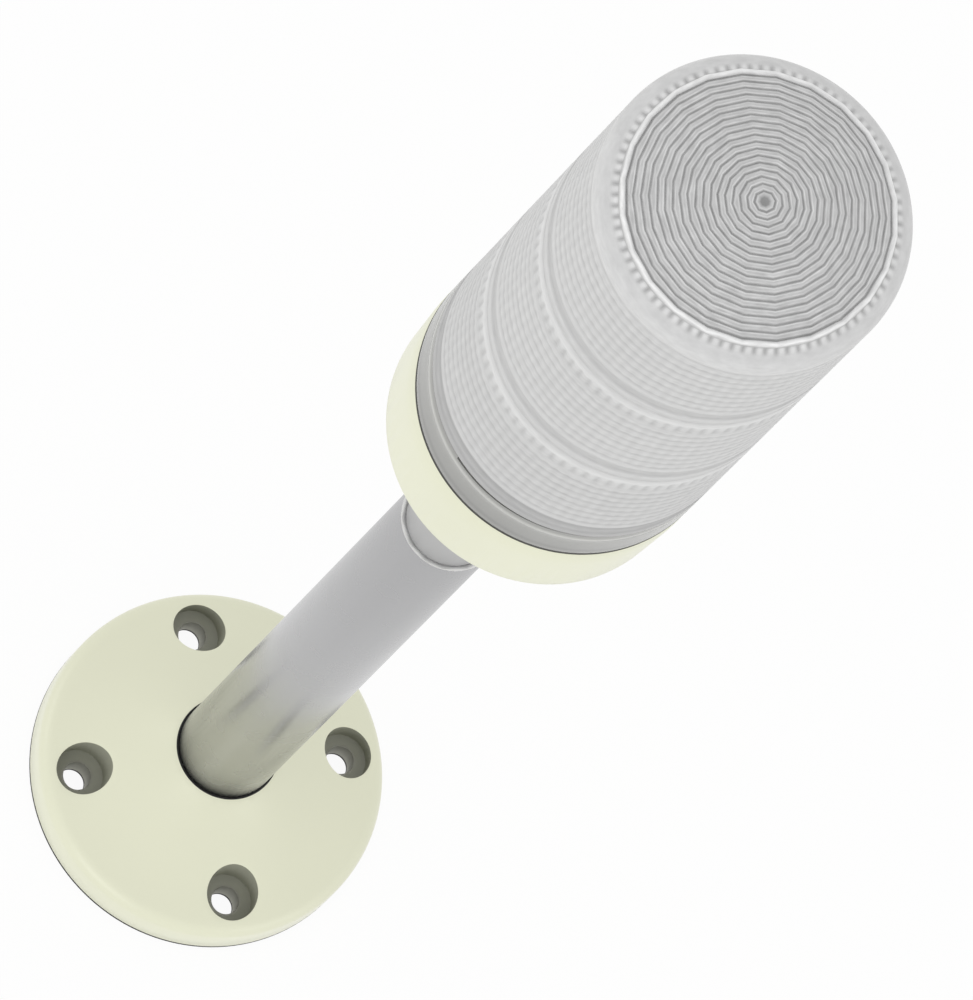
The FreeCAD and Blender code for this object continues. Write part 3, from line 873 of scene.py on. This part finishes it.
def facets_tree() -> Tree:
    """Return the tree that turns a dome's ring prisms into polygons with flat sides.

    The tool is milled in flats, always an even number, and wider rings have more of them: twice
    the growth times the root of the radius, rounded up. Each ring keeps its mean radius, and one
    corner of each lies on the +X axis. Noise along the flats paints short glints into the tone,
    lighter and darker: painted highlights of the flats.

    Returns:
        The tree.
    """
    tree, put = geometry_tree("Ring facets", {
        "First": 0.002, "Pitch": 0.001, "Growth": 2.24, "Outer": 0.026, "Floor": 0.0,
        "Glint": 0.0, "Glint width": 0.001, "Glint length": 0.001})
    x, y, z, radius, angle = around_axis(tree)
    from_first = maths(tree, "SUBTRACT", radius, put["First"])
    steps = maths(tree, "ROUND", maths(tree, "DIVIDE", from_first, put["Pitch"]))
    ring = maths(tree, "MULTIPLY_ADD", maths(tree, "MAXIMUM", steps, 0.0), put["Pitch"],
                 put["First"])
    root = maths(tree, "SQRT", maths(tree, "DIVIDE", ring, MM))
    pairs = maths(tree, "CEIL", product(tree, put["Growth"], root))
    half = maths(tree, "DIVIDE", math.pi / 2, pairs)
    side = product(tree, half, 2.0)
    along = maths(tree, "SUBTRACT", maths(tree, "FLOORED_MODULO", angle, side), half)
    straight = maths(tree, "DIVIDE", maths(tree, "COSINE", half), maths(tree, "COSINE", along))
    mean = maths(tree, "MULTIPLY_ADD", product(tree, half, half), 1 / 3, 1.0)
    change = maths(tree, "SUBTRACT", product(tree, straight, mean), 1.0)
    inside = product(tree, maths(tree, "LESS_THAN", radius, put["Outer"]),
                     maths(tree, "GREATER_THAN", z, put["Floor"]))
    flat = add_node(tree, "ShaderNodeCombineXYZ", {"X": x, "Y": y})
    shift = times(tree, flat.outputs[0], product(tree, change, inside))
    place = add_node(tree, "ShaderNodeCombineXYZ", {
        "X": maths(tree, "DIVIDE", x, put["Glint length"]),
        "Y": maths(tree, "DIVIDE", y, put["Glint length"]),
        "Z": maths(tree, "DIVIDE", radius, put["Glint width"])})
    noise = add_node(tree, "ShaderNodeTexNoise", {"Vector": place.outputs[0], "Scale": 1.0,
                                                  "Detail": 2.0})
    glint = product(tree, maths(tree, "SUBTRACT", noise.outputs["Fac"], 0.5),
                    product(tree, put["Glint"], inside))
    press(tree, put, shift, maths(tree, "ADD", glint, 1.0))
    return tree


TREES: dict[Callable[[], Tree], Tree] = {}


def run_tree(piece: Object, maker: Callable[[], Tree], finish: Finish, **values: Any) -> None:
    """Run a geometry tree on a piece and keep the result as its plain mesh.

    Args:
        piece: the object whose mesh goes in.
        maker: the function that builds the tree.
        finish: the finish that the tree sets.
        values: the tree's other inputs by name, with _ for a space.
    """
    if maker not in TREES:
        TREES[maker] = maker()
    tree = TREES[maker]
    modifier = piece.modifiers.new(tree.name, "NODES")
    modifier.node_group = tree
    values["Material"] = material_of(finish)
    for item in tree.interface.items_tree:
        key = item.name.replace(" ", "_")
        if item.in_out == "INPUT" and key in values:
            modifier[item.identifier] = values[key]
    flatten(piece)


# ------------------------------------------------------------------ sub-assemblies

@dataclass
class Flange:
    """Mounting flange with its gasket, metal sleeves, tube seal and grub screw."""

    bolt_circle: float = 54.0
    bolts: int = 4
    sleeve_outer: float = 3.2
    sleeve_bore: float = 2.8
    sleeve_columns: int = 48
    mouth_round: float = 0.08
    mouth_steps: int = 4
    seal_columns: int = 96
    seal_bore: float = 10.0
    seal_outer: float = 10.45
    seal_crown: float = 0.12
    seal_edge: float = 0.1
    crown: float = 21.6
    counterbore: float = 5.35
    counterbore_floor: float = 6.5
    upright: float = 0.3    # a face whose normal rises less than this is a hole's wall
    body: str = "base"

    def in_bore(self, centre: Vector, normal: Vector) -> bool:
        """Return whether a face lies in one of the counterbored holes.

        Args:
            centre: the face's centre, in millimetres.
            normal: which way it faces.

        Returns:
            True inside a hole.
        """
        for hole in range(self.bolts):
            angle = 2 * math.pi * hole / self.bolts
            axis = Vector((math.cos(angle), math.sin(angle))) * self.bolt_circle / 2
            if (centre.xy - axis).length < self.counterbore:
                return centre.z < self.counterbore_floor or abs(normal.z) < self.upright
        return False

    def sleeves(self) -> Object:
        """Return the four sleeves, each turned with a rounded mouth and set on the bolt circle.

        Returns:
            One object with all of them.
        """
        low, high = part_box("screw_sleeves")
        foot, top = low.z / MM, high.z / MM
        mouth = arc((self.sleeve_bore + self.mouth_round, top - self.mouth_round),
                    self.mouth_round, 90, 180, self.mouth_steps)
        outline = [Row(self.sleeve_bore, foot), Row(self.sleeve_outer, foot),
                   Row(self.sleeve_outer, top)] + mouth
        piece = lathe("sleeves", outline, self.sleeve_columns)
        piece.data.transform(Matrix.Translation((self.bolt_circle / 2 * MM, 0, 0)))
        run_tree(piece, polar_array_tree, Finish.STEEL, Count=self.bolts)
        shade(piece.data)
        return piece

    def seal(self) -> Object:
        """Return the tube's seal, which swells a little above the flange's crown.

        Returns:
            The seal.
        """
        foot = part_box("tube_seal")[0].z / MM
        top = self.crown + self.seal_crown
        return lathe("seal", [
            Row(self.seal_bore, foot), Row(self.seal_outer, foot), Row(self.seal_outer, self.crown),
            Row(self.seal_outer - self.seal_crown, top), Row(self.seal_bore + self.seal_edge, top),
            Row(self.seal_bore, self.crown)], self.seal_columns)

    def build(self) -> None:
        """Dress the flange and what sits in it."""
        dress("flange_gasket", self.body, Finish.RUBBER, edge_mm=0.1)
        # the flange's counterbored holes are marked for painted shade
        mark(dress("mounting_flange", self.body, Finish.CREAM, edge_mm=0.12), PAINTED_BORE_SHADE, self.in_bore)
        attach(self.seal(), self.body, Finish.RUBBER, "tube_seal")
        dress("tube_set_screw", self.body, Finish.STEEL)
        attach(self.sleeves(), self.body, Finish.STEEL, "screw_sleeves")


@dataclass
class Pole:
    """Tube and the neck that plugs into it, with their screw."""

    body: str = "base"
    cut_depth: float = 0.15
    burr_from: float = 9.3
    burr_bore: float = 9.03

    def build(self) -> None:
        """Dress the tube, with its bare cut end, the neck and the screw that joins them.

        The inner edge of the cut end is turned in towards the neck, as sawing leaves it.
        """
        tube = dress("pole_tube", self.body, Finish.TUBE, edge_mm=0.06)
        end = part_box("pole_tube")[1].z / MM - self.cut_depth
        for point in tube.data.vertices:
            if point.co.xy.length / MM < self.burr_from and point.co.z / MM > end:
                turned_to(point, self.burr_bore)
        second_finish(tube, Finish.CUT_END, lambda centre, normal: centre.z > end)
        dress("pole_adapter", self.body, Finish.GREY, edge_mm=0.1)
        dress("neck_screw", self.body, Finish.STEEL, edge_mm=0.2)


@dataclass
class Base:
    """Cream cup that carries the tiers, with what is inside it and the clear socket ring."""

    body: str = "base"
    seal_bore: float = 27.6
    seal_columns: int = 160
    # the seal is real; its lip sticks out as a dark line, a painted shadow where the ring meets the
    # cup
    shadow_lip_out: float = 29.98
    shadow_lip_height: float = 0.12
    shadow_lip_slope: float = 0.08
    ring_skin: float = 29.5
    # radius, height and painted light up the ring: darker at its foot and top, the painted shade of
    # its joints to the cup and first tier, lighter along the bead
    ring_rows: tuple[Row, ...] = (
        Row(29.85, 280.2, 0.44), Row(29.97, 280.6, 0.53), Row(30.0, 281.3, 0.62),
        Row(30.0, 282.5, 0.565), Row(30.0, 283.8, 0.625), Row(30.0, 285.5, 0.64),
        Row(30.0, 287.6, 0.67), Row(29.9, 288.9, 0.68), Row(30.0, 289.3, 0.79),
        Row(30.0, 290.0, 0.81), Row(29.88, 290.5, 0.69), Row(29.86, 291.2, 0.62),
        Row(29.85, 292.0, 0.575),
    )

    def seal(self) -> Object:
        """Return the flat seal under the socket ring, with a lip at its foot that sticks out a hair:
        a painted shadow line where the ring meets the cup.

        Returns:
            The seal.
        """
        low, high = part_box("base_seal")
        foot, top, outer = low.z / MM, high.z / MM, high.x / MM
        lip = foot + self.shadow_lip_height
        return lathe("cup_seal", [
            Row(self.seal_bore, foot), Row(self.shadow_lip_out, foot), Row(self.shadow_lip_out, lip),
            Row(outer, lip + self.shadow_lip_slope), Row(outer, top), Row(self.seal_bore, top)],
            self.seal_columns)

    def build(self) -> None:
        """Dress the cup, its inside, its seal and the socket ring with the bead below its rim."""
        dress("base_cup", self.body, Finish.CREAM, edge_mm=0.3)
        dress("lock_nut", self.body, Finish.GREY)
        dress("terminal_block", self.body, Finish.GREEN)
        dress("base_board", self.body, Finish.BOARD, edge_mm=0.05)
        attach(self.seal(), self.body, Finish.CUP_SEAL, "base_seal")
        ring = dress("socket_ring", self.body, Finish.CLEAR, edge_mm=0.1)
        # paint the ring's light and shade in bands up its wall
        banded(ring, self.ring_rows, self.ring_skin)


@dataclass(frozen=True)
class Flutes:
    """Flutes pressed into a stretch of the wall or of the dome, with sizes in millimetres.

    The stretch runs from low to high, in heights above the wall's foot or in radii on the dome,
    and the flutes fade in and out at its ends. Shade is painted into their middle, darker by a
    share. A sharpness of 1 makes a plain wave, and more makes narrow flutes.
    """

    low: float
    high: float
    fade_in: float
    fade_out: float
    depth: float
    shade_by: float
    sharpness: float = 1.0
    on_dome: bool = False


@dataclass
class Tier:
    """One light tier: its prismatic wall, the carrier under it and the lamp inside."""

    number: int
    domed: bool = False
    wall_radius: float = 30.0
    inner_low: float = 27.1
    inner_high: float = 27.5
    columns: int = 480
    crease_degrees: float = 50.0
    lip: float = 0.28
    groove_first: float = 8.3
    groove_pitch: float = 3.0
    groove_count: int = 8
    groove_depth: float = 0.14
    # groove_shade: how much darker the painted shade is at the bottom of a groove
    groove_shade: float = 0.05
    first_crest: float = 0.81       # painted light of the first wall's crests, then of the others'
    other_crests: float = 0.825
    flute_count: int = 80
    ring_first: float = 1.92
    ring_pitch: float = 1.35
    ring_count: int = 18
    ring_depth: float = 0.3
    ring_growth: float = 2.24
    ring_outer: float = 25.0
    # painted glints along the dome's flats: how much they change the tone, their width and length
    glint: float = 0.6
    glint_width: float = 0.25
    glint_length: float = 2.5
    bead_edge: float = 26.09
    dome_edge: float = 36.7
    dome_rise: float = 5.8
    shoulder_round: float = 3.0
    shoulder_lift: float = 0.2
    shoulder_sweep: float = 76.0
    shoulder_steps: int = 9
    # shoulder_light and band_light: the painted light of the dome's shoulder and of the band below
    # it
    shoulder_light: float = 0.84
    band_drop: float = 0.1          # below the end of a domed wall's grooves
    band_light: float = 0.85

    # (how far it stands out from the skin, height), with the painted light for each below
    collar_shape: Pairs = (
        (-0.15, 0), (-0.05, 0.1), (0, 0.4), (0, 1), (0, 1.6), (0, 2.2), (-0.02, 2.75),
        (-0.2, 3.1), (-0.22, 3.8), (-0.22, 4.5), (-0.22, 5.1), (-0.2, 5.6), (-0.02, 6.1), (0, 6.8))
    first_collar: tuple[float, ...] = (
        0.60, 0.65, 0.69, 0.695, 0.69, 0.65, 0.69, 0.725, 0.69, 0.655, 0.645, 0.65, 0.75, 0.80)
    other_collars: tuple[float, ...] = (
        0.76, 0.77, 0.78, 0.80, 0.81, 0.81, 0.78, 0.75, 0.745, 0.755, 0.76, 0.77, 0.80, 0.82)
    # (offset along the wall, share of the depth)
    groove_profile: Pairs = ((-1.5, 0), (-1, 0.02), (-0.6, 0.25), (-0.3, 0.8), (0, 1),
                             (0.3, 0.8), (0.6, 0.25), (1, 0.02))
    # (height above the last groove, painted light)
    plain_band: Pairs = ((0, 0.815), (0.7, 0.8), (1.4, 0.8), (2, 0.8), (3, 0.81), (4, 0.825),
                         (4.8, 0.84), (5.4, 0.86), (6, 0.86), (6.8, 0.84))
    # (how far in from the skin, height above the rim, painted light)
    rim_shape: Triples = ((0, -0.4, 0.81), (0.03, -0.05, 0.8), (0.08, 0, 0.8))
    # (offset along the dome, share of the depth, painted light)
    ring_profile: Triples = (
        (0.56, 0.1, 0.79), (0.44, 0, 0.87), (0.32, 0.06, 0.84), (0.2, 0.5, 0.77),
        (0.08, 0.95, 0.67), (-0.06, 1, 0.66), (-0.18, 0.55, 0.73), (-0.3, 0.12, 0.8),
        (-0.42, 0, 0.83), (-0.54, 0.1, 0.79))
    # (radius, drop below the dome's crests, painted light), for the bead and for the dimple in the
    # middle
    bead: Triples = (
        (27.4, 0.5, 0.85), (27, 0.49, 0.89), (26.6, 0.46, 0.91), (26.3, 0.4, 0.87),
        (26.15, 0.3, 0.75), (26.05, -0.2, 0.88), (25.9, -0.48, 0.95), (25.7, -0.56, 0.95),
        (25.5, -0.5, 0.93), (25.3, -0.3, 0.9), (25.12, 0, 0.87))
    dimple: Triples = ((1.25, 0, 0.78), (1, 0.1, 0.7), (0.75, 0.26, 0.6), (0, 0.28, 0.58))
    open_flutes: Flutes = Flutes(7.0, 31.5, 1.5, 1.5, depth=0.08, shade_by=0.07)
    domed_flutes: Flutes = Flutes(7.0, 32.5, 1.5, 1.5, depth=0.08, shade_by=0.07)
    pips: Flutes = Flutes(31.7, 36.3, 1.2, 1.2, depth=0.25, shade_by=0.15, sharpness=1.8)
    teeth: Flutes = Flutes(26.09, 27.8, 0.2, 1.2, depth=0.35, shade_by=0.4, sharpness=1.5,
                           on_dome=True)

    @property
    def body(self) -> str:
        """Name of the body that this tier rides on."""
        return f"tier_{self.number}"

    @property
    def foot(self) -> float:
        """Height of the wall's lower edge, in millimetres."""
        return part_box(f"lens_{self.number}")[0].z / MM

    @property
    def rim(self) -> float:
        """Height of an open wall's upper edge above its lower one."""
        low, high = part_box(f"lens_{self.number}")
        return (high.z - low.z) / MM

    def collar(self) -> list[Row]:
        """Return the rows of the smooth collar and the sunk band above it, from the lower edge.

        The first tier's foot has painted shade, darker where the base would show through it, and it
        has a lip that all but closes the joint to the socket ring.

        Returns:
            The rows, from the inner edge outwards and up.
        """
        first = self.number == 1
        lights = self.first_collar if first else self.other_collars
        rows = [Row(self.wall_radius + out, height, light)
                for (out, height), light in zip(self.collar_shape, lights)]
        lip = self.lip if first else 0.0
        return [Row(self.inner_low, -lip), Row(rows[0].radius, -lip, lights[0])] + rows

    def grooves(self, count: int) -> tuple[list[Row], float]:
        """Return the rows of some horizontal prism grooves, and the height where they end.

        Args:
            count: how many grooves.

        Returns:
            The rows from the lowest up, and that height.
        """
        crest = self.first_crest if self.number == 1 else self.other_crests
        rows = [Row(self.wall_radius - self.groove_depth * share,
                    self.groove_first + self.groove_pitch * index + offset,
                    crest - self.groove_shade * share)
                for index in range(count) for offset, share in self.groove_profile]
        return rows, self.groove_first + self.groove_pitch * (count - 0.5)

    def open_wall(self) -> list[Row]:
        """Return the outline of an open wall.

        Returns:
            Its rows, anticlockwise.
        """
        rows, last = self.grooves(self.groove_count)
        rows += [Row(self.wall_radius, last + rise, light) for rise, light in self.plain_band]
        rows += [Row(self.wall_radius - inwards, self.rim + rise, light)
                 for inwards, rise, light in self.rim_shape]
        top = self.rim + self.lip
        return self.collar() + rows + [Row(rows[-1].radius, top, rows[-1].light),
                                       Row(self.inner_high, top)]

    def domed_wall(self) -> list[Row]:
        """Return the outline of the last wall, closed by a dome with a bead around its prisms.

        Returns:
            Its rows, anticlockwise.
        """
        rows, last = self.grooves(self.groove_count + 1)
        rows.append(Row(self.wall_radius, last - self.band_drop, self.band_light))
        inside = self.dome_edge - self.shoulder_round
        rows += arc((self.wall_radius - self.shoulder_round, inside + self.shoulder_lift),
                    self.shoulder_round, 0, self.shoulder_sweep, self.shoulder_steps,
                    self.shoulder_light)
        rows += [self.on_dome(*spot) for spot in self.bead]
        for index in reversed(range(self.ring_count)):
            groove = self.ring_first + self.ring_pitch * index
            rows += [self.on_dome(groove + offset, self.ring_depth * share, light)
                     for offset, share, light in self.ring_profile
                     if groove + offset < self.ring_outer]
        rows += [self.on_dome(*spot) for spot in self.dimple]
        return self.collar() + rows + [Row(0.0, inside + self.dome_rise),
                                       Row(self.inner_high, inside)]

    def on_dome(self, radius: float, drop: float, light: float) -> Row:
        """Return a row that lies a drop below the dome's crests."""
        crest = self.dome_edge + self.dome_rise * (1 - (radius / self.wall_radius) ** 2)
        return Row(radius, crest - drop, light)

    def flute(self, piece: Object, flutes: Flutes) -> None:
        """Press flutes into the wall or the dome.

        Args:
            piece: the wall, which is changed in place.
            flutes: their sizes.
        """
        lift = 0.0 if flutes.on_dome else self.foot
        run_tree(piece, flutes_tree, Finish.PRISMS, Count=self.flute_count,
                 Depth=flutes.depth * MM, Sharpness=flutes.sharpness,
                 Low=(flutes.low + lift) * MM, High=(flutes.high + lift) * MM,
                 Fade_in=flutes.fade_in * MM, Fade_out=flutes.fade_out * MM,
                 Skin=(flutes.low if flutes.on_dome else self.inner_high + 1) * MM,
                 On_dome=flutes.on_dome, Shade=flutes.shade_by)

    def wall(self) -> Object:
        """Return the wall, with its grooves and flutes, and its dome or the pips under its rim.

        Returns:
            The wall as a plain mesh.
        """
        outline = self.domed_wall() if self.domed else self.open_wall()
        piece = lathe(f"lens_{self.number}_prisms", outline, self.columns, self.foot)
        self.flute(piece, self.domed_flutes if self.domed else self.open_flutes)
        self.flute(piece, self.teeth if self.domed else self.pips)
        if self.domed:
            run_tree(piece, facets_tree, Finish.PRISMS, First=self.ring_first * MM,
                     Pitch=self.ring_pitch * MM, Growth=self.ring_growth,
                     Outer=self.bead_edge * MM,
                     Floor=(self.foot + self.dome_edge - self.shoulder_round / 2) * MM,
                     Glint=self.glint, Glint_width=self.glint_width * MM,
                     Glint_length=self.glint_length * MM)
        shade(piece.data, self.crease_degrees)
        return piece

    def build(self) -> None:
        """Build the wall and dress what is inside the tier."""
        attach(self.wall(), self.body, Finish.PRISMS, f"lens_{self.number}")
        inside = [("holder", Finish.WHITE, 0.15), ("led_column", Finish.WHITE, 0.15),
                  ("led_boards", Finish.BOARD, 0.05), ("leds", Finish.DIODE, 0.1),
                  ("contact_pins", Finish.BRASS, 0.1)]
        if not self.domed:
            inside.append(("contact_board", Finish.BOARD, 0.05))
        for node, finish, edge_mm in inside:
            dress(f"{node}_{self.number}", self.body, finish, edge_mm)


# ------------------------------------------------------------------ light and camera

@dataclass
class Studio:
    """Pale floor, even white surroundings, soft lamps and the camera."""

    fill: float = 0.84
    floor_colour: str = "#F6F6F4"
    floor_glow: float = 0.94
    floor_size: float = 60.0
    floor_gap_mm: float = 0.1
    side_lamps: tuple[float, float, float] = (80.0, 15.0, 6.0)      # away, up, watts
    front_lamp: tuple[float, float, float] = (0.0, 20.0, 12.0)
    lamp_size: float = 1.6
    lamp_distance: float = 3.0
    aim: tuple[float, float, float] = (1.9, -5.3, 200.0)
    azimuth: float = 130.14
    elevation: float = 68.41
    roll: float = 44.56
    distance: float = 4127.6
    focal_length: float = 784.6
    sensor_width: float = 36.0
    sight: float = 100.0            # how far the camera sees, in metres

    def seen(self, tree: Tree) -> Socket:
        """Return 1 for a ray that shows the background: from the eye, a mirror or clear plastic.

        Args:
            tree: the material's tree.

        Returns:
            The socket that holds it.
        """
        ray = add_node(tree, "ShaderNodeLightPath").outputs
        first = maths(tree, "MAXIMUM", ray["Is Camera Ray"], ray["Is Glossy Ray"])
        return maths(tree, "MAXIMUM", first, ray["Is Transmission Ray"])

    def surroundings(self) -> None:
        """Set the world: even soft light, which is plain white where it is seen."""
        world = bpy.data.worlds.new("Soft white surroundings")
        world.use_nodes = True
        tree = world.node_tree
        tree.nodes.clear()
        light, white = (
            add_node(tree, "ShaderNodeBackground", {"Color": WHITE, "Strength": strength})
            for strength in (self.fill, 1.0))
        mixed = add_node(tree, "ShaderNodeMixShader", {0: self.seen(tree), 1: light.outputs[0],
                                                       2: white.outputs[0]})
        add_node(tree, "ShaderNodeOutputWorld", {"Surface": mixed.outputs[0]})
        bpy.context.scene.world = world

    def floor(self) -> None:
        """Lay the pale floor, which keeps a faint shadow where it is seen."""
        half, level = self.floor_size / 2, -self.floor_gap_mm * MM
        mesh = bpy.data.meshes.new("floor")
        mesh.from_pydata([(-half, -half, level), (half, -half, level), (half, half, level),
                          (-half, half, level)], [], [(0, 1, 2, 3)])
        material, tree = new_material("matt white floor")
        paint = add_node(tree, "ShaderNodeBsdfDiffuse", {"Color": linear(self.floor_colour)})
        glow = add_node(tree, "ShaderNodeEmission", {"Color": WHITE, "Strength": 1.0})
        mixed = add_node(tree, "ShaderNodeMixShader", {
            0: product(tree, self.seen(tree), self.floor_glow), 1: paint.outputs[0],
            2: glow.outputs[0]})
        add_node(tree, "ShaderNodeOutputMaterial", {"Surface": mixed.outputs[0]})
        mesh.materials.append(material)
        linked("floor", mesh)

    def lamp(self, name: str, azimuth: float, elevation: float, watts: float) -> None:
        """Hang one soft square lamp that faces the light; angles are degrees.

        Args:
            name: the lamp's name.
            azimuth: where it hangs around the Z axis.
            elevation: how high it hangs.
            watts: how strong it is.
        """
        data = bpy.data.lights.new(name, "AREA")
        data.energy = watts
        data.size = self.lamp_size
        made = linked(name, data)
        turn = Matrix.Rotation(math.radians(azimuth), 4, "Z")
        lift = Matrix.Rotation(math.radians(90 - elevation), 4, "Y")
        made.matrix_world = turn @ lift @ Matrix.Translation((0, 0, self.lamp_distance))
        made.visible_camera = False

    def camera(self) -> None:
        """Set the camera by where it aims, its direction, its roll and its distance."""
        data = bpy.data.cameras.new("camera")
        data.sensor_width = self.sensor_width
        data.lens = self.focal_length
        data.clip_end = self.sight
        azimuth, elevation = math.radians(self.azimuth), math.radians(self.elevation)
        back = Vector((math.cos(azimuth) * math.cos(elevation),
                       math.sin(azimuth) * math.cos(elevation), math.sin(elevation)))
        level = Vector((0, 0, 1)).cross(back).normalized()
        right = Matrix.Rotation(math.radians(self.roll), 3, back) @ level
        facing = Matrix((right, back.cross(right), back)).transposed().to_4x4()
        eye = (Vector(self.aim) + back * self.distance) * MM
        made = linked("camera", data)
        made.matrix_world = Matrix.Translation(eye) @ facing
        bpy.context.scene.camera = made

    def build(self) -> None:
        """Set up the floor, the light and the camera."""
        bpy.context.scene.view_settings.view_transform = "Standard"
        self.surroundings()
        self.floor()
        away, up, watts = self.side_lamps
        self.lamp("lamp_left", self.azimuth - away, up, watts)
        self.lamp("lamp_right", self.azimuth + away, up, watts)
        away, up, watts = self.front_lamp
        self.lamp("lamp_front", self.azimuth + away, up, watts)
        self.camera()


def main() -> None:
    """Build every sub-assembly in order, from the flange to the dome, then light the scene."""
    logging.basicConfig(level=logging.INFO, format="%(name)s: %(message)s")
    Flange().build()
    Pole().build()
    Base().build()
    for number in (1, 2, 3):
        Tier(number, domed=number == 3).build()
    Studio().build()


if __name__ == "__main__":
    main()
